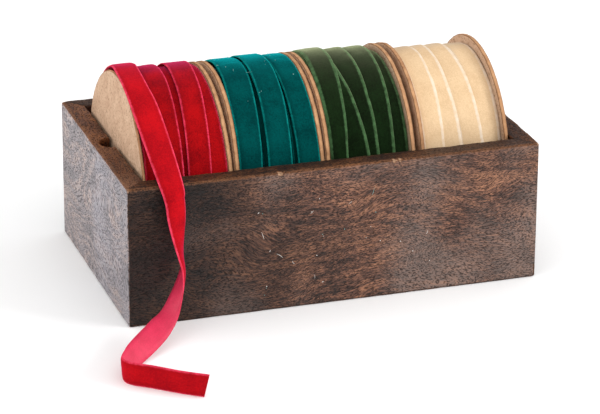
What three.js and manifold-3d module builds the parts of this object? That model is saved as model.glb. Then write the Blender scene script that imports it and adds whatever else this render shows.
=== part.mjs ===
// Ribbon box: an open, mitred wooden box that holds four flanged spools of velvet ribbon side by
// side on one loose dowel. The dowel's ends drop into stopped half-round grooves in the end boards,
// so that every spool turns by itself, and the whole row lifts straight out of the box.
// Millimetres, +Z up, +X along the row of spools, +Y to the back. The origin is the centre of the
// box's underside.

import * as THREE from 'three';
import { mergeVertices } from 'three/addons/utils/BufferGeometryUtils.js';
import Module from 'manifold-3d';

const wasm = await Module();
wasm.setup();

// ---- Driving dimensions ----

// Box
const BOX_HEIGHT = 85;
const BOARD = 12; // thickness of the four side boards
const PANEL = 4; // thickness of the bottom panel
const MITRE_GAP = 0.3; // glue line between two boards, square to it
const PANEL_GAP = 0.3; // between the bottom panel and the boards around it

// Spools
const SPOOL_WIDTH = 54.9; // over both flanges
const FLANGE_RADIUS = 60.5;
const FLANGE = 2.5; // thickness of the kraft board
const CORE_RADIUS = 16;
const CORE_WALL = 2;
const PIECE_GAP = 0.3; // between a spool's own pieces
const SPOOL_FLOOR_GAP = 1; // between the flanges and the bottom panel
const SPOOL_SIDE_GAP = 3.5; // between the flanges and the front and back boards

// Dowel and its seats
const DOWEL_RADIUS = 6;
const DOWEL_BORE_GAP = 0.5; // between the dowel and the flanges' bores
const DOWEL_SEAT = 4.6; // how far each end reaches into its groove
const DOWEL_SIDE_GAP = 0.5; // between the dowel's end and the groove on each side
const DOWEL_REST_GAP = 0.3; // between the dowel and the floor of its groove

// The four spools, from left to right. "before" is the free space to the left of the spool, and
// "wound" is how far its ribbon stays below the flanges' edge.
const SPOOLS = [
  { name: 'red', before: 1.3, wound: 0, ribbon: 0xb3121d },
  { name: 'teal', before: 0.6, wound: 0.4, ribbon: 0x006c67 },
  { name: 'green', before: 0.8, wound: 4, ribbon: 0x27472a },
  { name: 'cream', before: 3.3, wound: 4.4, ribbon: 0xf0d8b0 },
];
const SPOOL_END_GAP = 0.4; // between the last spool and the right end board

// Loose end of the red ribbon
const RIBBON_WIDTH = 14;
const RIBBON = 0.8; // thickness, pile included
const RIBBON_LIFT = 2.2; // how far the loose turn stands off the wound ribbon at its crest

// ---- Worked out from the dimensions above ----

const insideLength = SPOOLS.reduce((sum, spool) => sum + spool.before + SPOOL_WIDTH, SPOOL_END_GAP);
const insideWidth = 2 * (FLANGE_RADIUS + SPOOL_SIDE_GAP);
const axisHeight = PANEL + SPOOL_FLOOR_GAP + FLANGE_RADIUS;
const flangeBore = DOWEL_RADIUS + DOWEL_BORE_GAP;
// A half-round groove centred on the board's inner face, wide enough at the dowel's very end.
const grooveRadius = Math.hypot(DOWEL_RADIUS + DOWEL_SIDE_GAP, DOWEL_SEAT);
const leftInside = -insideLength / 2;
const leftOutside = leftInside - BOARD;
const frontInside = -insideWidth / 2;
const frontOutside = frontInside - BOARD;

// ---- Materials ----

const surface = (color, roughness) => new THREE.MeshStandardMaterial({ color, roughness, metalness: 0 });
const stainedWood = () => surface(0x4a3027, 0.55);
const kraftBoard = () => surface(0xd3ab7c, 0.85);

// ---- Geometry helpers ----

// A solid whose plan is the closed outline of [x, y] points, standing on z = 0.
function standing(outline, height) {
  const shape = new THREE.Shape(outline.map(([x, y]) => new THREE.Vector2(x, y)));
  return new THREE.ExtrudeGeometry(shape, { depth: height, bevelEnabled: false });
}

// A ring about the X axis, centred on x = 0.
function ring(inner, outer, width, segments) {
  const section = [
    [inner, -width / 2],
    [outer, -width / 2],
    [outer, width / 2],
    [inner, width / 2],
    [inner, -width / 2],
  ];
  const profile = section.map(([radius, along]) => new THREE.Vector2(radius, along));
  return new THREE.LatheGeometry(profile, segments).rotateZ(-Math.PI / 2);
}

// The same surface with only its positions, and with shared corners joined.
function welded(geometry) {
  const bare = geometry.clone();
  bare.deleteAttribute('normal');
  bare.deleteAttribute('uv');
  return mergeVertices(bare, 1e-4);
}

function toManifold(geometry) {
  const joined = welded(geometry);
  return new wasm.Manifold(
    new wasm.Mesh({
      numProp: 3,
      vertProperties: new Float32Array(joined.attributes.position.array),
      triVerts: new Uint32Array(joined.index.array),
    }),
  );
}

function fromManifold(solid) {
  const mesh = solid.getMesh();
  const geometry = new THREE.BufferGeometry();
  geometry.setAttribute('position', new THREE.BufferAttribute(mesh.vertProperties, 3));
  geometry.setIndex(new THREE.BufferAttribute(mesh.triVerts, 1));
  return geometry;
}

const part = new THREE.Group();

function add(parent, name, geometry, material) {
  const mesh = new THREE.Mesh(geometry, material);
  mesh.name = name;
  parent.add(mesh);
  return mesh;
}

// ---- Box: four mitred boards around a let-in bottom panel ----

// Plan of a board on the side y < 0 of a rectangle of outer corners (±x, -y). Its two mitre faces
// are drawn back by half the glue line.
function mitredOutline(halfLength, halfWidth) {
  const back = (MITRE_GAP / 2) * Math.SQRT2;
  const outer = halfLength - back;
  const inner = halfLength - BOARD - back;
  return [
    [-outer, -halfWidth],
    [outer, -halfWidth],
    [inner, -halfWidth + BOARD],
    [-inner, -halfWidth + BOARD],
  ];
}

const turned = (outline, angle) =>
  outline.map(([x, y]) => [
    x * Math.cos(angle) - y * Math.sin(angle),
    x * Math.sin(angle) + y * Math.cos(angle),
  ]);

function addBox() {
  const long = mitredOutline(-leftOutside, -frontOutside);
  const short = mitredOutline(-frontOutside, -leftOutside);
  add(part, 'front_board', standing(long, BOX_HEIGHT), stainedWood());
  add(part, 'back_board', standing(turned(long, Math.PI), BOX_HEIGHT), stainedWood());

  // Each end board has a groove for the dowel, open at the rim and at the inner face.
  const grooveFloor = axisHeight - DOWEL_RADIUS - DOWEL_REST_GAP;
  const overshoot = 1;
  const grooveHeight = BOX_HEIGHT - grooveFloor + overshoot;
  for (const [name, side] of [['left_end_board', -1], ['right_end_board', 1]]) {
    const board = toManifold(standing(turned(short, side * Math.PI / 2), BOX_HEIGHT));
    const cutter = new THREE.CylinderGeometry(grooveRadius, grooveRadius, grooveHeight, 40)
      .rotateX(Math.PI / 2)
      .translate(side * -leftInside, 0, grooveFloor + grooveHeight / 2);
    add(part, name, fromManifold(board.subtract(toManifold(cutter))), stainedWood());
  }

  const panelLength = insideLength - 2 * PANEL_GAP;
  const panelWidth = insideWidth - 2 * PANEL_GAP;
  const panel = new THREE.BoxGeometry(panelLength, panelWidth, PANEL).translate(0, 0, PANEL / 2);
  add(part, 'bottom_panel', panel, stainedWood());
}

// ---- Dowel and spools, on the axis ----

const axle = new THREE.Group();
axle.position.z = axisHeight;
part.add(axle);

function addDowel() {
  const length = insideLength + 2 * DOWEL_SEAT;
  const rod = new THREE.CylinderGeometry(DOWEL_RADIUS, DOWEL_RADIUS, length, 32).rotateZ(Math.PI / 2);
  add(axle, 'dowel', rod, surface(0xc9a679, 0.6));
}

const woundRadius = (spool) => FLANGE_RADIUS - spool.wound;

function addSpool(spool, left) {
  const group = new THREE.Group();
  group.position.x = left + SPOOL_WIDTH / 2;
  axle.add(group);

  const between = SPOOL_WIDTH - 2 * FLANGE - 2 * PIECE_GAP;
  const flangeAt = (SPOOL_WIDTH - FLANGE) / 2;
  const flange = () => ring(flangeBore, FLANGE_RADIUS, FLANGE, 64);
  add(group, `${spool.name}_left_flange`, flange(), kraftBoard()).position.x = -flangeAt;
  add(group, `${spool.name}_right_flange`, flange(), kraftBoard()).position.x = flangeAt;

  const core = ring(CORE_RADIUS - CORE_WALL, CORE_RADIUS, between, 32);
  add(group, `${spool.name}_core`, core, kraftBoard());
  const wound = ring(CORE_RADIUS + PIECE_GAP, woundRadius(spool), between, 64);
  add(group, `${spool.name}_ribbon`, wound, surface(spool.ribbon, 0.9));
}

function addSpools() {
  let left = leftInside;
  for (const spool of SPOOLS) {
    left += spool.before;
    addSpool(spool, left);
    left += SPOOL_WIDTH;
  }
}

// ---- Loose end of the red ribbon ----

// Chosen places along the middle of the ribbon: up behind the red spool and over its crest, over
// the front board's edge, down with half a twist, to an upright turn on the table and the cut end.
// Each is [x, y, z, heading, lift]. x counts from the box's left side and y from its front face.
// "heading" and "lift" give the direction across the ribbon in degrees: heading turns it from +X
// towards +Y, and lift raises it from the level.
function looseEndPlaces() {
  const wound = woundRadius(SPOOLS[0]) + PIECE_GAP + RIBBON / 2;
  const crest = wound + RIBBON_LIFT;
  const toFront = -frontOutside;
  const overRim = BOX_HEIGHT + 1;
  const onSpool = (x, angle, radius = crest) => {
    const forward = radius * Math.sin(angle);
    return [x, toFront - forward, axisHeight + radius * Math.cos(angle), 0, 0];
  };

  // Behind the spool it lies on the winding, and towards the crest it works loose.
  const climbSteps = 7;
  const climb = Array.from({ length: climbSteps }, (_, k) => {
    const share = k / climbSteps;
    const angle = THREE.MathUtils.degToRad(-95 * (1 - share));
    return onSpool(24.4 - 0.4 * share ** 2, angle, wound + RIBBON_LIFT * (0.1 + 0.9 * share ** 2));
  });

  // Where the taut stretch from the rim touches the spool, as an angle forward of its crest.
  const rise = overRim - axisHeight;
  const leaves = Math.atan2(toFront, rise) - Math.acos(crest / Math.hypot(toFront, rise));

  // A place that hangs in front of the board, whose nearer edge stays "clear" of it.
  const hanging = (x, clear, share, heading, lift) => {
    const reach = Math.sin(THREE.MathUtils.degToRad(heading)) * Math.cos(THREE.MathUtils.degToRad(lift));
    return [x, -clear - (RIBBON_WIDTH / 2) * reach, BOX_HEIGHT * share, heading, lift];
  };
  const upright = RIBBON_WIDTH / 2 + PIECE_GAP;
  return [
    ...climb,
    onSpool(23.9, 0),
    onSpool(23.7, leaves / 2),
    onSpool(24.2, leaves),
    [26.4, -1.0, overRim, 0, 0],
    hanging(26.9, 3.0, 0.9, 14, 0),
    hanging(27.4, 2.6, 0.79, 26, -2),
    hanging(28.0, 2.4, 0.66, 46, -6),
    hanging(28.4, 3.0, 0.54, 64, -14),
    hanging(28.5, 4.3, 0.42, 82, -21),
    hanging(25.8, 6.6, 0.31, 102, -20),
    [19.0, -20.0, 2.2 * upright, 120, -8],
    [11.2, -27.5, 1.55 * upright, 132, 18],
    [4.7, -34.5, 1.3 * upright, 147, 32],
    [-8.5, -48.0, upright, 152, 56],
    [-16.4, -57.5, upright, 160, 76],
    [-22.0, -67.0, upright, 170, 86],
    [-19.3, -74.6, upright, 170, 88],
    [-9.6, -82.2, upright, 150, 90],
    [4.0, -93.8, upright, 150, 90],
    [16.0, -102.4, upright, 150, 90],
  ];
}

// A strip of the ribbon's section, closed at both ends, along the places above.
function looseEndGeometry() {
  const places = looseEndPlaces();
  const through = (points) => new THREE.CatmullRomCurve3(points, false, 'catmullrom');
  const middle = through(places.map(([x, y, z]) => new THREE.Vector3(x, y, z)));
  const aim = through(places.map(([, , , heading, lift]) => {
    const around = THREE.MathUtils.degToRad(heading);
    const up = THREE.MathUtils.degToRad(lift);
    const level = Math.cos(up);
    return new THREE.Vector3(level * Math.cos(around), level * Math.sin(around), Math.sin(up));
  }));

  const stepsPerPlace = 4;
  const steps = (places.length - 1) * stepsPerPlace;
  const corners = [];
  for (let i = 0; i <= steps; i += 1) {
    const point = middle.getPoint(i / steps);
    const along = middle.getTangent(i / steps);
    const across = aim.getPoint(i / steps);
    across.addScaledVector(along, -across.dot(along)).setLength(RIBBON_WIDTH / 2);
    const out = new THREE.Vector3().crossVectors(along, across).setLength(RIBBON / 2);
    for (const [side, face] of [[-1, -1], [1, -1], [1, 1], [-1, 1]]) {
      corners.push(point.clone().addScaledVector(across, side).addScaledVector(out, face));
    }
  }

  // Both broad faces are split along the same diagonal, so that they stay apart where it twists.
  const triangles = [0, 2, 1, 0, 3, 2];
  for (let i = 0; i < steps; i += 1) {
    for (let k = 0; k < 4; k += 1) {
      const here = 4 * i + k;
      const next = 4 * i + ((k + 1) % 4);
      if (k < 2) {
        triangles.push(here, next, here + 4, next, next + 4, here + 4);
      } else {
        triangles.push(here, next, next + 4, here, next + 4, here + 4);
      }
    }
  }
  const last = 4 * steps;
  triangles.push(last, last + 1, last + 2, last, last + 2, last + 3);
  const geometry = new THREE.BufferGeometry().setFromPoints(corners);
  geometry.setIndex(triangles);
  return geometry.translate(leftOutside, frontOutside, 0);
}

addBox();
addDowel();
addSpools();
add(part, 'red_ribbon_tail', looseEndGeometry(), surface(0xc01a2b, 0.9));

export default part;
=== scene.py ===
"""Ribbon box: a dark-stained wooden box with four spools of velvet ribbon on one dowel."""

import math
import random

import bpy
from mathutils import Matrix, Vector, noise


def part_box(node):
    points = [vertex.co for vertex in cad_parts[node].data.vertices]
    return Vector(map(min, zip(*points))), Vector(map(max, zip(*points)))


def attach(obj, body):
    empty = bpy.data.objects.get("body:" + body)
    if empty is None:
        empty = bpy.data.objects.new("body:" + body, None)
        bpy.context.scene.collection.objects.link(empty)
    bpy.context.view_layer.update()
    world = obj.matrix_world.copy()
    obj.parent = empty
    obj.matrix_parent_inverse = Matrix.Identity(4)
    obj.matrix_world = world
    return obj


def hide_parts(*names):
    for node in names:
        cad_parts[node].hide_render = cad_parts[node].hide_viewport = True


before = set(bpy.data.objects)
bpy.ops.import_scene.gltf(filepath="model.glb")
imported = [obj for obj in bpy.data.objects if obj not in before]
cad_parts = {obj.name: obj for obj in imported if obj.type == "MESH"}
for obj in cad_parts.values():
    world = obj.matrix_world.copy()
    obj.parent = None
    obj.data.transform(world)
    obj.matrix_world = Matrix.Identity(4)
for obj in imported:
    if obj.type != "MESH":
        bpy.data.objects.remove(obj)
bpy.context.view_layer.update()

MM = 0.001

# ---- Sizes, from the frame ----

board_low, board_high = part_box("front_board")
RIM = board_high.z
BOARD = board_high.y - board_low.y
FRONT = board_low.y
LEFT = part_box("left_end_board")[0].x
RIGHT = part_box("right_end_board")[1].x
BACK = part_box("back_board")[1].y
FLOOR_Z = board_low.z

dowel_low, dowel_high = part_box("dowel")
AXIS_Z = (dowel_low.z + dowel_high.z) / 2
DOWEL_RADIUS = (dowel_high.z - dowel_low.z) / 2
SEAT = LEFT + BOARD - dowel_low.x

flange_low, flange_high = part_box("red_left_flange")
FLANGE_RADIUS = (flange_high.z - flange_low.z) / 2
FLANGE = flange_high.x - flange_low.x
BORE = DOWEL_RADIUS + 0.5 * MM

RIBBON_WIDTH = 14 * MM
COLOURS = ("red", "teal", "green", "cream")


# ---- Shader helpers ----


def linear(hex_colour):
    """An sRGB hex colour as linear red, green, blue and alpha."""
    channels = [int(hex_colour[i : i + 2], 16) / 255 for i in (0, 2, 4)]
    straight = [c / 12.92 if c <= 0.04045 else ((c + 0.055) / 1.055) ** 2.4 for c in channels]
    return (*straight, 1.0)


def add(tree, kind, *inputs, out=None, stops=(), **settings):
    """Adds a shader node and gives its output, the one named or else the first.

    Inputs fill the node's open sockets in order. A named setting is one of the node's own, or else
    goes to the open socket of that name. Hex colours are turned to linear, and stops are a ramp's.
    """
    node = tree.nodes.new("ShaderNode" + kind)
    for name in [n for n in settings if hasattr(node, n)]:
        setattr(node, name, settings.pop(name))
    sockets = [s for s in node.inputs if s.enabled]
    pairs = list(zip(sockets, inputs))
    for name, value in settings.items():
        pairs.append((next(s for s in sockets if s.name == name.replace("_", " ")), value))
    for socket, value in pairs:
        if isinstance(value, bpy.types.NodeSocket):
            tree.links.new(value, socket)
        else:
            socket.default_value = linear(value) if isinstance(value, str) else value
    for i, (place, colour) in enumerate(stops):
        elements = node.color_ramp.elements
        element = elements[i] if i < 2 else elements.new(place)
        element.position = place
        element.color = linear(colour)
    return next((s for s in node.outputs if s.enabled and s.name == (out or s.name)), None)


def new_material(name):
    material = bpy.data.materials.new(name)
    material.use_nodes = True
    material.node_tree.nodes.clear()
    return material, material.node_tree


# ---- Materials ----


def stained_wood(name, dark, mid, warm, ashen, swirl, seed, gloss=0.25, coat=0.0, bloom=0.0,
                 fleck=0.55 * MM, pit_depth=0.75, pit_colour="120C0A", end_stain_and_painted_light=(1.0, 1.0), figure=0.045):
    """Mango board, planed, stained dark and rubbed with oil.

    The stain sinks into the open pores and soft early wood. That gives short dark strokes which
    follow the swirl of the grain, over cloudy brown and rust-brown patches, with a low sheen. Wax
    left on the wood blooms pale where it is seen at a low angle. The pair given for the ends is how
    strong the colour is at the board's left and right ends: partly stain thinned by hands, and partly
    painted light and painted shadow, the ends made lighter or darker as light falls on them.
    "figure" is how strongly the growth rings show.
    """
    material, tree = new_material(name)
    place = add(tree, "Attribute", attribute_name="grain", out="Vector")
    place = add(tree, "Mapping", place, Location=(seed, 2 * seed, 3 * seed))

    # The grain wanders round knots: every finer pattern follows this slow drift.
    slow = add(tree, "TexNoise", Vector=add(tree, "Mapping", place, Scale=(0.6, 1, 1)),
               Scale=1 / (42 * MM), Detail=1.0, out="Color")
    drift = add(tree, "VectorMath", slow, (0.5, 0.5, 0.5), operation="SUBTRACT")
    drift = add(tree, "VectorMath", drift, Scale=swirl, operation="SCALE")
    flow = add(tree, "VectorMath", place, drift, operation="ADD")

    # Growth rings 3 mm apart, read off a slow field so that they close round the knots.
    field = add(tree, "TexNoise", Vector=add(tree, "Mapping", flow, Scale=(0.2, 1, 1)),
                Scale=1 / (34 * MM), Detail=0.6, Roughness=0.4)
    rings = add(tree, "Math", add(tree, "Math", field, 78.0, operation="MULTIPLY"), operation="SINE")

    # Strokes 0.8 by 5 mm, flecks three times as long as they are wide, and clouds 24 mm across.
    long_way = add(tree, "Mapping", flow, Scale=(0.15, 1, 1))
    strokes = add(tree, "TexNoise", Vector=long_way, Scale=1 / (0.8 * MM), Detail=3.0, Roughness=0.65)
    short_way = add(tree, "Mapping", flow, Scale=(0.32, 1, 1))
    flecks = add(tree, "TexNoise", Vector=short_way, Scale=1 / fleck, Detail=2.0, Roughness=0.6)
    clouds = add(tree, "TexNoise", Vector=add(tree, "Mapping", place, Scale=(0.6, 1, 1)),
                 Scale=1 / (24 * MM), Detail=4.0, Roughness=0.6)

    tone = add(tree, "Math", rings, figure, operation="MULTIPLY")
    tone = add(tree, "Math", strokes, 0.62, tone, operation="MULTIPLY_ADD")
    tone = add(tree, "Math", clouds, 0.36, tone, operation="MULTIPLY_ADD")
    colour = add(tree, "ValToRGB", tone, stops=((0.38, dark), (0.62, warm), (0.49, mid)))

    # Greyer patches, more of them to the board's right, then the dark open pores.
    regions = add(tree, "TexNoise", Vector=place, Scale=1 / (75 * MM), Detail=2.0, Roughness=0.5)
    along = add(tree, "SeparateXYZ", flow, out="X")
    along = add(tree, "Math", along, seed, operation="SUBTRACT")
    ashy = add(tree, "Math", along, 1.2, regions, operation="MULTIPLY_ADD")
    ashy = add(tree, "MapRange", ashy, 0.42, 0.66, 0.0, 0.6, interpolation_type="SMOOTHSTEP")
    colour = add(tree, "Mix", ashy, colour, ashen, data_type="RGBA")
    pits = add(tree, "MapRange", flecks, 0.5, 0.61, interpolation_type="SMOOTHSTEP")
    pits = add(tree, "Math", pits, pit_depth, operation="MULTIPLY")
    colour = add(tree, "Mix", pits, colour, pit_colour, data_type="RGBA")

    # Raised fibres between the pores took less stain.
    glints = add(tree, "MapRange", strokes, 0.6, 0.78, interpolation_type="SMOOTHSTEP")
    glints = add(tree, "Math", glints, add(tree, "MapRange", clouds, 0.45, 0.65), operation="MULTIPLY")
    glints = add(tree, "Math", glints, 0.8, operation="MULTIPLY")
    colour = add(tree, "Mix", glints, colour, warm, data_type="RGBA")

    # Lighter or darker towards the board's ends: partly thinner stain where the board was handled, partly
    # painted light and painted shadow.
    stain_and_painted_light = add(tree, "Math", regions, 0.12, along, operation="MULTIPLY_ADD")
    stain_and_painted_light = add(tree, "MapRange", stain_and_painted_light, -0.03, 0.06, *end_stain_and_painted_light, interpolation_type="SMOOTHSTEP")
    colour = add(tree, "VectorMath", colour, Scale=stain_and_painted_light, operation="SCALE")

    # Bare wood shows where edges are rubbed or chipped.
    worn = add(tree, "Attribute", attribute_name="worn", out="Fac")
    broken = add(tree, "TexNoise", Vector=place, Scale=1 / (1.3 * MM), Detail=3.0, Roughness=0.6)
    worn = add(tree, "Math", worn, broken, operation="ADD")
    chipped = add(tree, "MapRange", worn, 1.15, 1.4, interpolation_type="SMOOTHSTEP")
    worn = add(tree, "MapRange", worn, 0.72, 1.1, 0.0, 0.7, interpolation_type="SMOOTHSTEP")
    colour = add(tree, "Mix", worn, colour, "85583A", data_type="RGBA")
    colour = add(tree, "Mix", chipped, colour, "A98468", data_type="RGBA")

    normal = add(tree, "Bump", Height=strokes, Distance=0.35 * MM, Strength=0.7)
    normal = add(tree, "Bump", Height=pits, Distance=-0.35 * MM, Strength=1.0, Normal=normal)
    # Oil and wax fill the flat parts and leave the pores dull.
    rough = add(tree, "MapRange", strokes, 0.3, 0.7, 0.38, 0.55)
    rough = add(tree, "Math", pits, 0.4, rough, operation="MULTIPLY_ADD")
    waxed = add(tree, "MapRange", pits, 0.0, 0.8, coat, 0.0) if coat else 0.0
    surface = add(tree, "BsdfPrincipled", Base_Color=colour, Roughness=rough, IOR=1.5, Normal=normal,
                  Specular_IOR_Level=gloss, Coat_Weight=waxed, Coat_Roughness=0.35,
                  Sheen_Weight=bloom, Sheen_Roughness=0.35, Sheen_Tint="D8D4E0")
    add(tree, "OutputMaterial", surface)
    return material


def kraft_face():
    """Solid kraft board, face: pressed recycled fibre, matt, with fine dark and pale flecks."""
    material, tree = new_material("kraft_board_face")
    place = add(tree, "TexCoord", out="Object")
    mottle = add(tree, "TexNoise", Vector=place, Scale=1 / (7 * MM), Detail=3.0, Roughness=0.6)
    fleck = add(tree, "TexNoise", Vector=place, Scale=1 / (1.5 * MM), Detail=3.0, Roughness=0.7)
    grit = add(tree, "TexNoise", Vector=place, Scale=1 / (0.4 * MM), Detail=2.0, Roughness=0.7)
    colour = add(tree, "ValToRGB", mottle, stops=((0.3, "B69378"), (0.7, "CCAC90")))
    dots = add(tree, "MapRange", fleck, 0.52, 0.66, 0.0, 0.75, interpolation_type="SMOOTHSTEP")
    colour = add(tree, "Mix", dots, colour, "7E5A3E", data_type="RGBA")
    pale = add(tree, "MapRange", grit, 0.55, 0.75, interpolation_type="SMOOTHSTEP")
    pale = add(tree, "Math", pale, 0.5, operation="MULTIPLY")
    colour = add(tree, "Mix", pale, colour, "DCC2A4", data_type="RGBA")
    normal = add(tree, "Bump", Height=grit, Distance=0.1 * MM, Strength=0.6)
    surface = add(tree, "BsdfPrincipled", Base_Color=colour, Roughness=0.88, Normal=normal,
                  Specular_IOR_Level=0.2)
    add(tree, "OutputMaterial", surface)
    return material


def kraft_edge():
    """Solid kraft board, die-cut edge: its plies show as thin darker lines, fuzzy where it was cut."""
    material, tree = new_material("kraft_board_cut_edge")
    place = add(tree, "TexCoord", out="Object")
    depth = add(tree, "Attribute", attribute_name="ply", out="Fac")
    waver = add(tree, "TexNoise", Vector=place, Scale=1 / (6 * MM), Detail=3.0, Roughness=0.6)
    fuzz = add(tree, "TexNoise", Vector=place, Scale=1 / (0.6 * MM), Detail=3.0, Roughness=0.7)
    level = add(tree, "Math", waver, 0.3, depth, operation="MULTIPLY_ADD")
    plies = add(tree, "Math", add(tree, "Math", level, 8.0, operation="MULTIPLY"), operation="SINE")
    plies = add(tree, "MapRange", plies, 0.7, 1.0, interpolation_type="SMOOTHSTEP")
    colour = add(tree, "ValToRGB", waver, stops=((0.3, "9E7250"), (0.7, "C6986F")))
    dark = add(tree, "Math", plies, 0.55, operation="MULTIPLY")
    colour = add(tree, "Mix", dark, colour, "4A2C1A", data_type="RGBA")
    normal = add(tree, "Bump", Height=fuzz, Distance=0.15 * MM, Strength=0.5)
    normal = add(tree, "Bump", Height=plies, Distance=-0.15 * MM, Strength=0.7, Normal=normal)
    surface = add(tree, "BsdfPrincipled", Base_Color=colour, Roughness=0.92, Normal=normal,
                  Specular_IOR_Level=0.2)
    add(tree, "OutputMaterial", surface)
    return material


def velvet(name, deep, face, glow, edge, sheen, sheen_weight, woven_from=0.9):
    """Cotton velvet, cut pile between two woven edges.

    The upright pile drinks light face-on and glows where it is seen edgewise. Brushed patches lie
    a little lighter or darker. At both edges the pile thins out over brighter woven yarn.
    """
    material, tree = new_material(name)
    place = add(tree, "TexCoord", out="Object")
    brushed = add(tree, "TexNoise", Vector=place, Scale=1 / (13 * MM), Detail=2.0, Roughness=0.5)
    pile = add(tree, "TexNoise", Vector=place, Scale=1 / (1.2 * MM), Detail=3.0, Roughness=0.65)
    tips = add(tree, "TexNoise", Vector=place, Scale=1 / (0.45 * MM), Detail=2.0, Roughness=0.65)
    tone = add(tree, "Math", brushed, 0.35, operation="MULTIPLY")
    tone = add(tree, "Math", pile, 0.3, tone, operation="MULTIPLY_ADD")
    tone = add(tree, "Math", tips, 0.35, tone, operation="MULTIPLY_ADD")
    # Combed by winding, the pile streaks along the ribbon. Towards both sides it is painted darker, a painted
    # shade of the ribbon's rounded face.
    lay = add(tree, "Attribute", attribute_name="lay", out="Vector")
    combed = add(tree, "Mapping", lay, Scale=(0.04, 1, 1))
    combed = add(tree, "TexNoise", Vector=combed, Scale=1 / (1.8 * MM), Detail=3.0, Roughness=0.6)
    tone = add(tree, "Math", add(tree, "Math", combed, 0.5, operation="SUBTRACT"), 0.45, tone,
               operation="MULTIPLY_ADD")
    colour = add(tree, "ValToRGB", tone, stops=((0.39, deep), (0.58, face)))
    side = add(tree, "SeparateXYZ", lay, out="Z")
    painted_side_shade = add(tree, "MapRange", side, 0.4, 0.85, 0.0, 0.35, interpolation_type="SMOOTHSTEP")
    colour = add(tree, "Mix", painted_side_shade, colour, deep, data_type="RGBA")
    edgewise = add(tree, "LayerWeight", Blend=0.4, out="Facing")
    edgewise = add(tree, "Math", pile, 0.2, edgewise, operation="MULTIPLY_ADD")
    glowing = add(tree, "MapRange", edgewise, 0.55, 1.15, 0.0, 0.8, interpolation_type="SMOOTHSTEP")
    colour = add(tree, "Mix", glowing, colour, glow, data_type="RGBA")

    side = add(tree, "Math", pile, 0.16, side, operation="MULTIPLY_ADD")
    woven = add(tree, "MapRange", side, woven_from, woven_from + 0.14, interpolation_type="SMOOTHSTEP")
    rubbed = add(tree, "TexNoise", Vector=place, Scale=1 / (4 * MM), Detail=3.0, Roughness=0.6)
    rubbed = add(tree, "MapRange", rubbed, 0.35, 0.62, 0.4, 0.95)
    woven = add(tree, "Math", woven, rubbed, operation="MULTIPLY")
    colour = add(tree, "Mix", woven, colour, edge, data_type="RGBA")

    normal = add(tree, "Bump", Height=pile, Distance=0.3 * MM, Strength=0.35)
    normal = add(tree, "Bump", Height=tips, Distance=0.2 * MM, Strength=0.5, Normal=normal)
    surface = add(tree, "BsdfPrincipled", Base_Color=colour, Roughness=0.95, Normal=normal,
                  Specular_IOR_Level=0.02, Sheen_Weight=sheen_weight, Sheen_Roughness=0.4,
                  Sheen_Tint=sheen)
    add(tree, "OutputMaterial", surface)
    return material


def satin_back(name, colour, shade):
    """The ribbon's woven back: bright yarn in a plain satin, with a soft gloss and fine cross ribs.

    The ribs are 0.25 mm apart in the real weave and are drawn at 0.8 mm so that they show.
    """
    material, tree = new_material(name)
    place = add(tree, "TexCoord", out="Object")
    along = add(tree, "Attribute", attribute_name="along", out="Fac")
    ribs = add(tree, "Math", along, 2 * math.pi / (0.8 * MM), operation="MULTIPLY")
    ribs = add(tree, "Math", ribs, operation="SINE")
    slub = add(tree, "TexNoise", Vector=place, Scale=1 / (0.7 * MM), Detail=3.0, Roughness=0.6)
    cloud = add(tree, "TexNoise", Vector=place, Scale=1 / (9 * MM), Detail=2.0, Roughness=0.5)
    tone = add(tree, "Math", slub, 0.5, operation="MULTIPLY")
    tone = add(tree, "Math", cloud, 0.5, tone, operation="MULTIPLY_ADD")
    tint = add(tree, "ValToRGB", tone, stops=((0.38, shade), (0.6, colour)))
    normal = add(tree, "Bump", Height=ribs, Distance=0.05 * MM, Strength=0.4)
    normal = add(tree, "Bump", Height=slub, Distance=0.1 * MM, Strength=0.5, Normal=normal)
    surface = add(tree, "BsdfPrincipled", Base_Color=tint, Roughness=0.55, Normal=normal,
                  Specular_IOR_Level=0.4, Sheen_Weight=0.25, Sheen_Roughness=0.4, Sheen_Tint=colour)
    add(tree, "OutputMaterial", surface)
    return material


def dowel_wood():
    """Turned birch dowel, unfinished: pale, straight-grained and matt."""
    material, tree = new_material("birch_dowel")
    place = add(tree, "Mapping", add(tree, "TexCoord", out="Object"), Scale=(0.06, 1, 1))
    grain = add(tree, "TexNoise", Vector=place, Scale=1 / (0.9 * MM), Detail=3.0, Roughness=0.6)
    colour = add(tree, "ValToRGB", grain, stops=((0.3, "A9825A"), (0.7, "CFAE84")))
    normal = add(tree, "Bump", Height=grain, Distance=0.1 * MM, Strength=0.5)
    surface = add(tree, "BsdfPrincipled", Base_Color=colour, Roughness=0.7, Normal=normal)
    add(tree, "OutputMaterial", surface)
    return material


def lint(name, colour, pale):
    """Loose textile fibre: a fine matt thread."""
    material, tree = new_material(name)
    place = add(tree, "TexCoord", out="Object")
    tone = add(tree, "TexNoise", Vector=place, Scale=1 / (0.8 * MM))
    tint = add(tree, "ValToRGB", tone, stops=((0.35, colour), (0.65, pale)))
    surface = add(tree, "BsdfPrincipled", Base_Color=tint, Roughness=0.9)
    add(tree, "OutputMaterial", surface)
    return material


# ---- Mesh helpers ----


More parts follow.
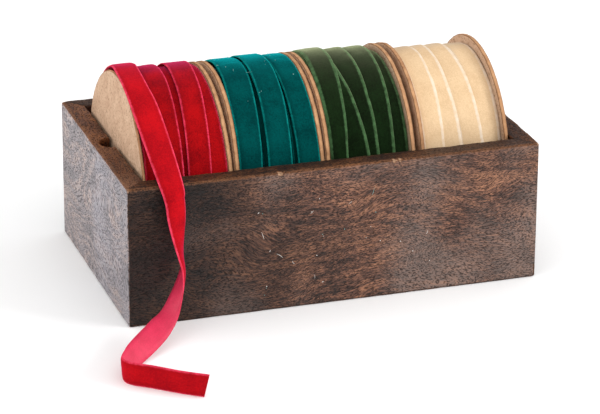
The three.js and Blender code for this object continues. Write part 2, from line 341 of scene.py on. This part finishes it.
def make_piece(name, points, faces, materials, body, indices=None, values=None):
    """A mesh piece that rides on a CAD body. values maps an attribute's name to one entry a point."""
    mesh = bpy.data.meshes.new(name)
    mesh.from_pydata([tuple(p) for p in points], [], faces)
    for material in materials:
        mesh.materials.append(material)
    if indices:
        mesh.polygons.foreach_set("material_index", indices)
    for key, entries in (values or {}).items():
        vector = hasattr(entries[0], "__len__")
        made = mesh.attributes.new(key, "FLOAT_VECTOR" if vector else "FLOAT", "POINT")
        flat = [c for entry in entries for c in entry] if vector else entries
        made.data.foreach_set("vector" if vector else "value", flat)
    mesh.polygons.foreach_set("use_smooth", [True] * len(mesh.polygons))
    mesh.update()
    piece = bpy.data.objects.new(name, mesh)
    bpy.context.scene.collection.objects.link(piece)
    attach(piece, body)
    return piece


def skin(rows, columns, close_rows=False):
    """Quads round a tube of rows by columns of points, numbered row by row."""
    faces = []
    for i in range(rows if close_rows else rows - 1):
        for j in range(columns):
            a = i * columns + j
            b = i * columns + (j + 1) % columns
            c = ((i + 1) % rows) * columns + (j + 1) % columns
            d = ((i + 1) % rows) * columns + j
            faces.append((a, b, c, d))
    return faces


def arc(centre, radius, start, end, steps):
    """Points of a round corner, angles in degrees."""
    turns = [math.radians(start + (end - start) * i / steps) for i in range(steps + 1)]
    return [(centre[0] + radius * math.cos(t), centre[1] + radius * math.sin(t)) for t in turns]


def even(low, high, count):
    """Values from low to high, both included, in count equal steps."""
    return [low + (high - low) * i / count for i in range(count + 1)]


def rumple(x, y, z, size):
    """Smooth noise about zero with blotches of that size."""
    return noise.noise(Vector((x, y, z)) / size)


# ---- Box ----

# Chips knocked out of the rim's outer edge: board, place along it, half length and depth.
CHIPS = (
    ("front_board", -34.2 * MM, 1.6 * MM, 1.0 * MM),
    ("front_board", 35.0 * MM, 1.3 * MM, 0.5 * MM),
    ("front_board", 38.0 * MM, 0.7 * MM, 0.5 * MM),
    ("back_board", 21.0 * MM, 2.4 * MM, 0.9 * MM),
    ("right_end_board", 30.0 * MM, 2.0 * MM, 0.8 * MM),
)


def board_section(groove, floor):
    """Closed outline of a board, as (depth from the outer face, height, how exposed to rubbing)."""
    outer = 1.1 * MM
    inner = 0.8 * MM
    inside = BOARD - groove
    shelf = 0.02 * MM if groove else 0.0
    section = [(0.0, h, 0.0) for h in even(outer, 7.9 * MM, 3)]
    section += [(0.0, h, 0.0) for h in even(8.1 * MM, RIM - 3 * outer, 24)]
    section += [(0.0, RIM - 2 * outer, 0.1)]
    section += [(*p, 1.0) for p in arc((outer, RIM - outer), outer, 180, 90, 5)]
    section += [(d, RIM, 0.1) for d in even(outer, inside - inner, 4)[1:-1]]
    section += [(*p, 0.7) for p in arc((inside - inner, RIM - inner), inner, 90, 0, 3)]
    section += [(inside, h, 0.0) for h in even(RIM - 2 * MM, floor + shelf, 5)]
    section += [(BOARD, h, 0.0) for h in even(floor - 0.02 * MM, inner, 12)]
    section += [(*p, 0.2) for p in arc((BOARD - inner, inner), inner, 0, -90, 2)]
    section += [(*p, 0.5) for p in arc((outer, outer), outer, -90, -180, 3)[:-1]]
    return section


def make_board(node, length, turn, offset, outside, inside, grooved=False):
    """A mitred board, made along X with its outer face to the front and then turned into place.

    The outer face takes the "outside" material and the rim and the inner face the "inside" one.
    """
    open_joint = 0.1 * MM
    half = length / 2 - open_joint
    groove_radius = math.hypot(DOWEL_RADIUS + 0.5 * MM, SEAT)
    floor = AXIS_Z - DOWEL_RADIUS - 0.3 * MM
    corner = 1.0 * MM
    mitre = 30 * MM
    stations = even(-half, half, round(length / (1.2 * MM)))
    if grooved:
        stations = [s for s in stations if abs(s) > groove_radius + 0.4 * MM]
        stations += [groove_radius * math.cos(math.radians(a)) for a in range(0, 181, 9)]
    stations = [s for s in stations if abs(s) < half - 2.2 * corner]
    for back in (0.0, 0.12, 0.3, 0.6, 1.0, 2.0):
        stations += [half - back * corner, back * corner - half]
    stations.sort()
    seed = sum(ord(c) for c in node)
    points, worn, grain = [], [], []
    for s in stations:
        sunk = math.sqrt(groove_radius**2 - s * s) if grooved and abs(s) < groove_radius else 0.0
        from_end = half - abs(s)
        round_off = corner - math.sqrt(max(0, corner**2 - max(0, corner - from_end) ** 2))
        for depth, height, exposed in board_section(sunk, floor):
            share = max(0.0, (abs(s) - (half - mitre)) / mitre)
            along = math.copysign(abs(s) - depth * share, s)
            # Rubbed edges and corners lose a little wood, unevenly.
            rub = max(0.0, 0.25 + rumple(s, seed, height, 9 * MM)) * 0.5 * MM * exposed
            chip = 0.0
            if exposed == 1.0:
                for board, where, reach, cut in CHIPS:
                    if board == node and abs(s - where) < reach:
                        rough = 1 + 0.5 * rumple(s, height, seed, 1.1 * MM)
                        chip += cut * rough * math.sqrt(1 - abs(s - where) / reach)
            rub += chip
            wave = 0.12 * MM * rumple(s, seed + height, depth, 30 * MM)
            near = depth < BOARD / 2
            inset = round_off * (1 - depth / BOARD) if near else 0.0
            # A splinter is gone from the foot of the front board's right corner.
            if node == "front_board" and s > half - 3 * MM and height < 8 * MM and near:
                along -= 0.6 * MM
            y = depth + inset + (rub + wave if near else wave - rub)
            points.append(Vector((along, y, height - (rub if height > RIM / 2 else -0.6 * rub))))
            bare = 0.42 * exposed if near else 0.15 * exposed
            bare += 0.42 * max(0.0, 1 - from_end / (1.2 * corner)) if depth < corner else 0.0
            worn.append(bare + (0.9 if chip > 0.25 * MM else 0.0))
            grain.append((along, depth, height))
    flat = board_section(0.0, floor)
    columns = len(flat)
    faces = skin(len(stations), columns)
    outer = [depth == 0 or height < 0.5 * MM for depth, height, _ in flat]
    kinds = [0 if outer[f % columns] else 1 for f in range(len(faces))]
    faces.append(tuple(range(columns)))
    faces.append(tuple(reversed(range((len(stations) - 1) * columns, len(stations) * columns))))
    kinds += [1, 1]
    place = Matrix.Rotation(math.radians(turn), 4, "Z") @ Matrix.Translation((0, -offset, 0))
    points = [place @ p for p in points]
    faces = [tuple(reversed(f)) for f in faces]
    values = {"worn": worn, "grain": grain}
    piece = make_piece(node + "_planed", points, faces, [outside, inside], "box", indices=kinds,
                       values=values)
    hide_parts(node)


def make_box():
    # The front is painted darker at its left end and lighter at its right: painted shadow at the left and
    # painted light from the right, with some thinner stain.
    front = stained_wood("mango_stained_front", "1F1714", "452E25", "6E4C39", "564B46", 30 * MM, 0.31,
                         end_stain_and_painted_light=(0.4, 2.2), figure=0.03)
    # The left end is painted lighter and greyer than the other boards: a painted reflection of the bright
    # surroundings seen across it at a low angle, over its stain and its wax sheen.
    end = stained_wood("mango_stained_left_end_painted_reflection", "463B38", "7A6C6A", "A88C7C", "8E8C96", 60 * MM, 0.9,
                       gloss=0.5, coat=0.2, bloom=0.5, fleck=0.95 * MM, pit_depth=0.8,
                       pit_colour="24170F", figure=0.06)
    back = stained_wood("mango_stained_back", "1E1613", "3E291E", "684229", "4A3F3A", 34 * MM, 1.7,
                        end_stain_and_painted_light=(0.8, 1.5))
    rim = stained_wood("mango_stained_rim", "1A0C06", "3F2213", "633C20", "432D22", 20 * MM, 2.3,
                       gloss=0.16)
    # A lighter copy of the rim stain for the left board's rim and inner face: painted light, where the other
    # boards' rims are left darker.
    painted_lighter_left_rim = stained_wood("mango_stained_painted_lighter_left_rim", "341C10", "66391F", "8E5C38", "684634", 20 * MM, 2.9,
                            gloss=0.2)
    long = RIGHT - LEFT
    deep = BACK - FRONT
    make_board("front_board", long, 0, -FRONT, front, rim)
    make_board("back_board", long, 180, BACK, back, rim)
    make_board("left_end_board", deep, -90, -LEFT, end, painted_lighter_left_rim, grooved=True)
    make_board("right_end_board", deep, 90, RIGHT, back, rim, grooved=True)
    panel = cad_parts["bottom_panel"]
    panel.data.materials.clear()
    panel.data.materials.append(panel_wood())
    softened = panel.modifiers.new("eased_edges", "BEVEL")
    softened.width = 0.5 * MM


def panel_wood():
    """Thin mango ply for the bottom, stained like the boards and left dull."""
    material, tree = new_material("mango_ply_bottom")
    place = add(tree, "Mapping", add(tree, "TexCoord", out="Object"), Scale=(0.1, 1, 1))
    grain = add(tree, "TexNoise", Vector=place, Scale=1 / (1.5 * MM), Detail=4.0, Roughness=0.6)
    colour = add(tree, "ValToRGB", grain, stops=((0.35, "2B1D18"), (0.65, "5A3C2B")))
    normal = add(tree, "Bump", Height=grain, Distance=0.2 * MM, Strength=0.5)
    surface = add(tree, "BsdfPrincipled", Base_Color=colour, Roughness=0.6, Normal=normal)
    add(tree, "OutputMaterial", surface)
    return material


def make_lint(name, count, seed, body, materials, find):
    """Small curled fibres stuck to a surface. find gives a point, its normal and a direction."""
    random.seed(seed)
    points, faces, kinds = [], [], []
    for _ in range(count):
        start, normal, ahead = find(random.random(), random.random())
        length = random.choice((0.4, 0.5, 0.6, 0.8, 1.1, 2.6, 5.0)) * MM
        thick = (0.1 if length > 2 * MM else 0.22) * MM
        bend = random.uniform(-1.0, 1.0) / (3 * MM)
        turn = random.uniform(0, 2 * math.pi)
        heading = Matrix.Rotation(turn, 3, normal) @ ahead
        kind = random.choice(range(len(materials)))
        middle = start + normal * thick
        base = len(points)
        steps = 6
        for i in range(steps + 1):
            across = normal.cross(heading)
            swell = thick * math.sin(math.pi * (0.12 + 0.76 * i / steps))
            for a in range(5):
                t = 2 * math.pi * a / 5
                points.append(middle + (across * math.cos(t) + normal * math.sin(t)) * swell)
            middle = middle + heading * (length / steps)
            heading = Matrix.Rotation(bend * length / steps, 3, normal) @ heading
        for quad in skin(steps + 1, 5):
            faces.append(tuple(base + v for v in quad))
            kinds.append(kind)
        for end in (tuple(range(4, -1, -1)), tuple(range(steps * 5, steps * 5 + 5))):
            faces.append(tuple(base + v for v in end))
            kinds.append(kind)
    return make_piece(name, points, faces, materials, body, indices=kinds)


# ---- Dowel, flanges and cores ----


def turned_ring(name, section, centre_x, segments, materials, body, indices=None, warp=0.0, seed=0,
                leans=""):
    """A piece turned about the spools' axis. The section is a closed list of (radius, x, ply).

    warp is how far the piece waves along the axis, and leans names the flange whose lean it takes.
    """
    points, plies = [], []
    for i in range(segments):
        turn = 2 * math.pi * i / segments
        out = Vector((0, math.sin(turn), math.cos(turn)))
        for radius, x, ply in section:
            sway = warp * rumple(out.y * 0.02, out.z * 0.02, seed, 14 * MM) + lean_at(leans, turn)
            sway *= (radius / FLANGE_RADIUS) ** 2
            # A die-cut edge is a little ragged.
            fuzz = 0.25 * MM * rumple(out.y * radius, out.z * radius, seed, 4 * MM) - 0.1 * MM
            fuzz = fuzz if leans and radius > 0.9 * FLANGE_RADIUS else 0.0
            points.append(Vector((centre_x + x + sway, 0, AXIS_Z)) + out * (radius + fuzz))
            plies.append(ply)
    faces = skin(segments, len(section), close_rows=True)
    spots = [indices[f % len(section)] for f in range(len(faces))] if indices else None
    values = {"ply": plies, "lay": [(0.0, 0.0, 0.0)] * len(points)}
    return make_piece(name, points, faces, materials, body, indices=spots, values=values)


# The red spool's outer disc is cut from thinner board than the other seven: a share of their thickness.
OUTER_DISC_SHARE = 0.66


def make_flanges(face, edge):
    """Eight die-cut kraft discs, a little cupped, with softened rims."""
    half = FLANGE / 2
    soft = 0.6 * MM
    rim = [(FLANGE_RADIUS - soft + a, b) for a, b in arc((0, -half + soft), soft, -90, 0, 3)]
    rim += [(FLANGE_RADIUS - soft + a, b) for a, b in arc((0, half - soft), soft, 0, 90, 3)]
    flat = even(BORE + 2 * MM, FLANGE_RADIUS - 3 * MM, 6)
    section = [(BORE, -half), *[(r, -half) for r in flat]]
    first = len(section)
    section += rim
    section += [(r, half) for r in reversed(flat)]
    section += [(BORE, half)]
    section = [(r, x, 0.5 + x / FLANGE) for r, x in section]
    last = len(section) - 1
    cut = [1 if first <= i < first + len(rim) - 1 or i == last else 0 for i in range(len(section))]
    for number, colour in enumerate(COLOURS):
        for side in ("left", "right"):
            node = f"{colour}_{side}_flange"
            low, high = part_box(node)
            seed = 3.7 * number + (1.3 if side == "right" else 0)
            thin = OUTER_DISC_SHARE if node == "red_left_flange" else 1.0
            middle = (low.x + high.x) / 2 - (1 - thin) * half
            cut_section = [(r, x * thin, ply) for r, x, ply in section]
            piece = turned_ring(node + "_cut", cut_section, middle, 240, [face, edge],
                                colour + "_spool", indices=cut, warp=0.3 * MM, seed=seed, leans=node)
            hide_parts(node)
        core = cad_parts[colour + "_core"]
        core.data.materials.clear()
        core.data.materials.append(face)


def make_dowel():
    radius = DOWEL_RADIUS
    low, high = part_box("dowel")
    half = (high.x - low.x) / 2
    ease = 0.8 * MM
    tiny = 0.05 * MM
    section = [(tiny, -half), (radius - ease, -half), (radius, ease - half)]
    section += [(radius, x) for x in even(ease - half, half - ease, 10)[1:-1]]
    section += [(radius, half - ease), (radius - ease, half), (tiny, half)]
    section = [(r, x, 0.0) for r, x in section]
    piece = turned_ring("dowel_turned", section, (low.x + high.x) / 2, 48, [dowel_wood()], "axle")
    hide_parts("dowel")


# ---- Ribbon ----


def ribbon_section():
    """Across the ribbon: (share of the half width, height above its back in mm, material).

    Material 0 is the velvet face with its woven edges, and 1 the back.
    """
    half = [(0.0, 1.3), (0.25, 1.29), (0.5, 1.26), (0.7, 1.2), (0.8, 1.1), (0.88, 0.92), (0.94, 0.72),
            (1.0, 0.5)]
    face = [(a, h, 0) for a, h in reversed(half)] + [(-a, h, 0) for a, h in half[1:]]
    back = [(-1.0, 0.15, 1), (-0.6, 0.0, 1), (0.0, 0.0, 1), (0.6, 0.0, 1), (1.0, 0.15, 0)]
    return back + face


PILE_TOP = 1.3 * MM

# Nothing wound stands further out than this, so a spool turns without rubbing on the bottom.
CLEAR_RADIUS = FLANGE_RADIUS + 0.85 * MM

# Visible turns of each spool's ribbon, laid down first to last. Each gives where its right edge
# lies at the crest, front, bottom and back, counted from the left flange's inner face, then the
# radius of its face at its left and right edges, and its width, all in millimetres.
TURNS = {
    "red": (
        ((15.2, 15.1, 15.0, 15.3), 58.2, 58.2, 14.8),
        ((49.8, 49.6, 49.4, 49.7), 60.2, 59.8, 14.8),
        ((32.6, 28.6, 30.0, 36.0), 58.6, 59.4, 14.8),
        ((26.2, 22.6, 25.0, 28.5), 60.6, 61.5, 14.2),
        ((44.6, 38.4, 41.0, 46.5), 61.8, 62.3, 14.0),
    ),
    "teal": (
        ((37.0, 34.6, 33.0, 36.0), 57.0, 56.4, 15.0),
        ((49.7, 49.6, 49.4, 49.6), 60.2, 60.6, 13.2),
        ((19.8, 13.6, 17.0, 18.5), 60.9, 60.8, 16.2),
        ((35.2, 32.4, 35.0, 34.0), 61.7, 61.6, 14.6),
    ),
    "green": (
        ((49.5, 49.4, 49.6, 49.5), 58.6, 57.2, 15.0),
        ((43.4, 40.0, 42.5, 44.0), 59.3, 60.3, 15.0),
        ((30.2, 30.4, 30.0, 34.0), 59.2, 60.6, 15.0),
        ((15.8, 25.2, 20.0, 19.0), 59.6, 61.2, 15.0),
        ((17.0, 10.4, 16.0, 15.3), 61.0, 61.9, 15.0),
    ),
    "cream": (
        ((49.7, 49.6, 49.5, 49.7), 55.6, 55.8, 15.0),
        ((35.6, 39.4, 39.0, 41.0), 55.6, 56.7, 15.0),
        ((23.8, 25.8, 29.0, 31.5), 55.7, 56.8, 15.0),
        ((16.0, 13.8, 16.0, 16.4), 55.8, 56.9, 15.0),
    ),
}

# How far each flange's top leans along X at the crest.
LEAN = {
    "red_left_flange": 1.5 * MM,
    "red_right_flange": -0.9 * MM,
    "teal_left_flange": 1.5 * MM,
    "teal_right_flange": -0.5 * MM,
    "green_left_flange": 0.4 * MM,
}


def lean_at(node, turn):
    """How far a flange's rim stands aside at a turn from its crest."""
    return LEAN.get(node, 0.0) * ((1 + math.cos(turn)) / 2) ** 2


def around(values, turn):
    """A smooth closed curve through four values at the crest, front, bottom and back."""
    crest, front, bottom, back = values
    level = (crest + front + bottom + back) / 4
    tilt = (crest - bottom) / 2
    lean = (front - back) / 2
    pinch = (crest - front + bottom - back) / 4
    return level + tilt * math.cos(turn) + lean * math.sin(turn) + pinch * math.cos(2 * turn)


def make_turn(name, edges, left_radius, right_radius, width, colour, seed, materials):
    """One full turn of ribbon round a spool, held between its flanges."""
    sides = (colour + "_left_flange", colour + "_right_flange")
    low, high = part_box(sides[0])[1].x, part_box(sides[1])[0].x
    section = ribbon_section()
    steps = 320
    points, along, lay = [], [], []
    for i in range(steps):
        turn = 2 * math.pi * i / steps
        sway = 0.3 * MM * rumple(math.cos(turn), math.sin(turn), seed, 0.35)
        right = min(low + around(edges, turn) * MM + sway, high + lean_at(sides[1], turn) - 0.15 * MM)
        # Against the flange a turn is squeezed and bows up a little.
        left = max(right - width * MM, low + lean_at(sides[0], turn) + 0.15 * MM)
        bow = 0.25 * (width * MM - (right - left))
        out = Vector((0, -math.sin(turn), math.cos(turn)))
        lift = 0.35 * MM * rumple(math.cos(turn) * 1.3, math.sin(turn) * 1.3, seed + 5, 0.6)
        for across, height, _ in section:
            share = (across + 1) / 2
            radius = (left_radius + (right_radius - left_radius) * share) * MM - PILE_TOP
            ripple = 0.2 * MM * rumple(turn * 3, seed, across * 0.6, 0.4)
            crown = bow * (1 - across * across)
            x = left + (right - left) * share
            reach = min(radius + height * MM + lift + ripple + crown, CLEAR_RADIUS)
            points.append(Vector((x, 0, AXIS_Z)) + out * reach)
            along.append(turn * FLANGE_RADIUS)
            lay.append((turn * FLANGE_RADIUS, x, abs(across)))
    faces = skin(steps, len(section), close_rows=True)
    kinds = [section[f % len(section)][2] for f in range(len(faces))]
    values = {"along": along, "lay": lay}
    return make_piece(name, points, faces, materials, colour + "_spool", indices=kinds, values=values)


def make_wound_ribbon(colour, materials):
    """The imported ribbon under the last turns, and those turns, as separate loops."""
    node = colour + "_ribbon"
    body = colour + "_spool"
    low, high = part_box(colour + "_left_flange")[1].x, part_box(colour + "_right_flange")[0].x
    outer = min(min(t[1], t[2]) for t in TURNS[colour]) * MM - 1.2 * MM
    gap = 1.6 * MM
    wide = (high - low - 2 * gap) / 3
    for k in range(3):
        # Under-layers are packed side by side: three bands whose edges dip between them.
        left = low + gap + k * wide
        heap = [(16.5 * MM, 0.0), (outer - 1.2 * MM, 0.0), (outer - 0.2 * MM, 0.5 * MM)]
        heap += [(outer, 1.5 * MM), (outer, wide - 1.5 * MM)]
        heap += [(outer - 0.2 * MM, wide - 0.5 * MM), (outer - 1.2 * MM, wide), (16.5 * MM, wide)]
        heap = [(r, left + x, 0.0) for r, x in heap]
        turned_ring(f"{node}_packed_{k}", heap, 0.0, 120, [materials[0]], body)
    for k, shape in enumerate(TURNS[colour]):
        make_turn(f"{node}_turn_{k}", *shape, colour, k * 2.3 + len(colour), materials)
    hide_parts(node)


# ---- Loose end of the red ribbon ----


def loose_end_places():
    """Places along the middle of the loose end: x, y, z in metres, heading and lift in degrees.

    x counts from the box's left side and y from its front face. Heading and lift give the
    direction across the ribbon: heading turns it from +X towards +Y, lift raises it.
    """
    wound = FLANGE_RADIUS + 0.7 * MM
    lies = 1.0 * MM
    works_loose = 2.2 * MM
    crest = wound + works_loose
    to_front = -FRONT
    over_rim = RIM + 1 * MM
    rise = over_rim - AXIS_Z
    leaves = math.atan2(to_front, rise) - math.acos(crest / math.hypot(to_front, rise))
    upright = RIBBON_WIDTH / 2 + 0.3 * MM

    def on_spool(x, angle, radius=crest):
        return (x * MM, to_front - radius * math.sin(angle), AXIS_Z + radius * math.cos(angle), 0, 0)

    def hanging(x, clear, share, heading, lift):
        reach = math.sin(math.radians(heading)) * math.cos(math.radians(lift))
        return (x * MM, -clear * MM - RIBBON_WIDTH / 2 * reach, RIM * share, heading, lift)

    def lying(x, y, share, heading, lift):
        return (x * MM, y * MM, upright * share, heading, lift)

    # Behind the spool it lies on the winding, and it works loose and aside as it climbs to the crest.
    climb = []
    climb_steps = 7
    for k in range(climb_steps):
        share = k / climb_steps
        radius = wound + lies + (works_loose - lies) * share**2
        climb.append(on_spool(24.4 - 3.2 * share**4, math.radians(-95 * (1 - share)), radius))
    return climb + [
        on_spool(21.2, 0),
        on_spool(20.8, leaves / 2),
        on_spool(22.4, leaves),
        (25.5 * MM, -1 * MM, over_rim, 0, 0),
        hanging(26.8, 3.0, 0.9, 14, 0),
        hanging(27.4, 2.6, 0.79, 26, -2),
        hanging(28.0, 2.4, 0.66, 46, -6),
        hanging(28.4, 3.0, 0.54, 64, -14),
        hanging(28.5, 4.3, 0.42, 82, -21),
        hanging(25.8, 6.6, 0.31, 102, -20),
        lying(19.0, -20.0, 2.2, 120, -8),
        lying(11.2, -27.5, 1.55, 132, 18),
        lying(4.7, -34.5, 1.3, 147, 32),
        lying(-8.5, -48.0, 1, 152, 56),
        lying(-16.4, -57.5, 1, 160, 76),
        lying(-22.0, -67.0, 1, 170, 86),
        lying(-19.3, -74.6, 1, 170, 88),
        lying(-9.6, -82.2, 1, 150, 90),
        lying(4.0, -93.8, 1, 150, 90),
        lying(16.0, -102.4, 1, 150, 90),
    ]


def smooth_through(values, steps):
    """Vectors along a smooth curve through the given ones, with steps between two neighbours."""
    ends = [2 * values[0] - values[1], *values, 2 * values[-1] - values[-2]]
    found = []
    for i in range(1, len(ends) - 2):
        a, b, c, d = ends[i - 1 : i + 3]
        for k in range(steps):
            t = k / steps
            bend = (c - a) * t + (2 * a - 5 * b + 4 * c - d) * t**2 + (3 * b - a - 3 * c + d) * t**3
            found.append(b + bend / 2)
    found.append(values[-1].copy())
    return found


def make_loose_end(materials):
    places = loose_end_places()
    steps = 12
    middles = smooth_through([Vector((x + LEFT, y + FRONT, z)) for x, y, z, _, _ in places], steps)
    aims = []
    for _, _, _, heading, lift in places:
        h, up = math.radians(heading), math.radians(lift)
        aims.append(Vector((math.cos(up) * math.cos(h), math.cos(up) * math.sin(h), math.sin(up))))
    aims = smooth_through(aims, steps)
    section = ribbon_section()
    count = len(middles)
    # Rows where it twists, lies flattest and bends over the rim, and how far each reaches.
    twist_at, twist_reach = steps * 15.2, 16
    flat_at, flat_reach = steps * 9.2, 12
    rim_at, rim_reach = steps * 10.7, 15
    points, along, lay = [], [], []
    length = 0.0
    for i, (middle, aim) in enumerate(zip(middles, aims)):
        ahead = (middles[min(i + 1, count - 1)] - middles[max(i - 1, 0)]).normalized()
        across = (aim - ahead * aim.dot(ahead)).normalized()
        out = ahead.cross(across).normalized()
        if i:
            length += (middle - middles[i - 1]).length
        # Pulled flat on the spool it spreads; past the rim and in the twist it curls narrower.
        curl = math.exp(-(((i - rim_at) / rim_reach) ** 2))
        spread = math.exp(-(((i - flat_at) / flat_reach) ** 2))
        twist = math.exp(-(((i - twist_at) / twist_reach) ** 2))
        cup = 1.5 * MM * twist + 1.6 * MM * curl
        half_width = RIBBON_WIDTH / 2 * (1 + 0.17 * spread - 0.1 * curl)
        slant = 1.6 * MM * max(0.0, 1 - (count - 1 - i) / steps)
        for share, height, _ in section:
            bow = cup * (1 - share * share) + 0.15 * MM * rumple(length, share * 0.01, 3.1, 14 * MM)
            place = middle + across * (share * half_width) + out * ((height - 0.65) * MM + bow)
            points.append(place + ahead * slant * share)
            along.append(length)
            lay.append((length, share * RIBBON_WIDTH / 2, abs(share)))
    faces = skin(count, len(section))
    kinds = [section[f % len(section)][2] for f in range(len(faces))]
    across_count = len(section)
    for end in (tuple(reversed(range(across_count))), tuple(range(len(points) - across_count, len(points)))):
        faces.append(end)
        kinds.append(0)
    piece = make_piece("red_ribbon_loose_end", points, faces, materials, "axle", indices=kinds,
                       values={"along": along, "lay": lay})
    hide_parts("red_ribbon_tail")


# ---- Stage ----


def make_camera():
    azimuth, elevation, roll = math.radians(-18.18), math.radians(22.12), math.radians(0.325)
    data = bpy.data.cameras.new("camera")
    data.sensor_width = 36
    data.lens = 191.5
    place = (-0.5528, -1.6909, 0.7534)
    data.clip_end = 20
    camera = bpy.data.objects.new("camera", data)
    bpy.context.scene.collection.objects.link(camera)
    turn = Matrix.Rotation(azimuth, 4, "Z") @ Matrix.Rotation(math.pi / 2 - elevation, 4, "X")
    turn = turn @ Matrix.Rotation(roll, 4, "Z")
    camera.matrix_world = Matrix.Translation(place) @ turn
    bpy.context.scene.camera = camera


def make_light(name, place, target, size, power):
    data = bpy.data.lights.new(name, "AREA")
    data.shape = "RECTANGLE"
    data.size, data.size_y = size
    data.energy = power
    light = bpy.data.objects.new(name, data)
    bpy.context.scene.collection.objects.link(light)
    light.location = place
    light.rotation_euler = (Vector(target) - Vector(place)).to_track_quat("-Z", "Y").to_euler()


def make_stage():
    size = 6.0
    corners = [(-size, -size, FLOOR_Z), (size, -size, FLOOR_Z), (size, size, FLOOR_Z), (-size, size, FLOOR_Z)]
    mesh = bpy.data.meshes.new("floor")
    mesh.from_pydata(corners, [], [(0, 1, 2, 3)])
    material, tree = new_material("pale_floor")
    surface = add(tree, "BsdfPrincipled", Base_Color="FAFAFA", Roughness=0.9, Specular_IOR_Level=0.1)
    add(tree, "OutputMaterial", surface)
    mesh.materials.append(material)
    floor = bpy.data.objects.new("floor", mesh)
    bpy.context.scene.collection.objects.link(floor)

    # A white tent, darker low down behind the box.
    world = bpy.data.worlds.new("studio")
    world.use_nodes = True
    tree = world.node_tree
    tree.nodes.clear()
    toward = add(tree, "TexCoord", out="Generated")
    behind = add(tree, "VectorMath", toward, (0.0, 1.0, -0.35), operation="DOT_PRODUCT", out="Value")
    white = add(tree, "MapRange", behind, 0.2, 0.9, 1.0, 0.45, interpolation_type="SMOOTHSTEP")
    glow = add(tree, "Background", Color="FFFFFF", Strength=white)
    add(tree, "OutputWorld", glow)
    bpy.context.scene.world = world
    make_light("key", (1.5, -1.0, 0.8), (0, 0, 0.04), (0.7, 0.7), 21)
    make_light("top", (-0.3, -0.5, 1.5), (0, 0, 0.05), (1.2, 1.2), 3)
    make_light("left", (-1.3, 0.5, 0.35), (-0.1, 0, 0.05), (1.0, 0.6), 6)
    bpy.context.scene.view_settings.view_transform = "Standard"


# ---- Build ----

make_camera()

red = [
    velvet("red_cotton_velvet", "6E060C", "A80C10", "A41C54", "E03A58", "E04A78", 0.45, 0.9),
    satin_back("red_satin_back", "D42A50", "C02244"),
]
# The loose end gets a lighter copy of the red velvet: painted light on its front-facing length.
loose_red_painted_lighter = [
    velvet("red_cotton_velvet_loose_painted_lighter", "8E0A14", "BC1018", "B01C44", "E84460", "E04A78", 0.4, 0.9),
    red[1],
]
teal = [
    velvet("teal_cotton_velvet", "002C2C", "004846", "009094", "0A7A74", "00A4AC", 0.75, 0.9),
    satin_back("teal_satin_back", "177F77", "0A6660"),
]
green = [
    velvet("green_cotton_velvet", "050D04", "0F230D", "74805A", "43643F", "B4BA94", 0.8, 0.76),
    satin_back("green_satin_back", "3F6644", "2E4E32"),
]
cream = [
    velvet("cream_cotton_velvet", "CCAC86", "DEC09A", "BEAA94", "DCCCB8", "FFF4E4", 0.04, 0.74),
    satin_back("cream_satin_back", "D8C4A8", "CCB290"),
]
make_loose_end(loose_red_painted_lighter)
make_box()
make_flanges(kraft_face(), kraft_edge())
make_dowel()
for colour, materials in zip(COLOURS, (red, teal, green, cream)):
    make_wound_ribbon(colour, materials)


def on_front(a, b):
    """A spot on the front board, most often near its middle."""
    spot = Vector((LEFT + (0.3 + 0.45 * a) * (RIGHT - LEFT), FRONT + 0.05 * MM, (0.12 + 0.7 * b) * RIM))
    return spot, Vector((0, -1, 0)), Vector((1, 0, 0))


def on_teal(a, b):
    """A spot near the crest of the teal spool."""
    turn = math.radians(-20 + 60 * b)
    out = Vector((0, -math.sin(turn), math.cos(turn)))
    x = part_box("teal_ribbon")[0].x + (0.05 + 0.9 * a) * 49 * MM
    return Vector((x, 0, AXIS_Z)) + out * (CLEAR_RADIUS - 0.35 * MM), out, Vector((1, 0, 0))


white_lint = lint("white_cotton_lint", "C8C2BA", "F4F0EA")
teal_lint = lint("teal_cotton_lint", "4F8884", "9CC4BE")
dusty = make_lint("front_board_lint", 28, 7, "box", [white_lint, white_lint, teal_lint], on_front)
fluff = make_lint("teal_ribbon_lint", 22, 11, "teal_spool", [teal_lint], on_teal)
make_stage()
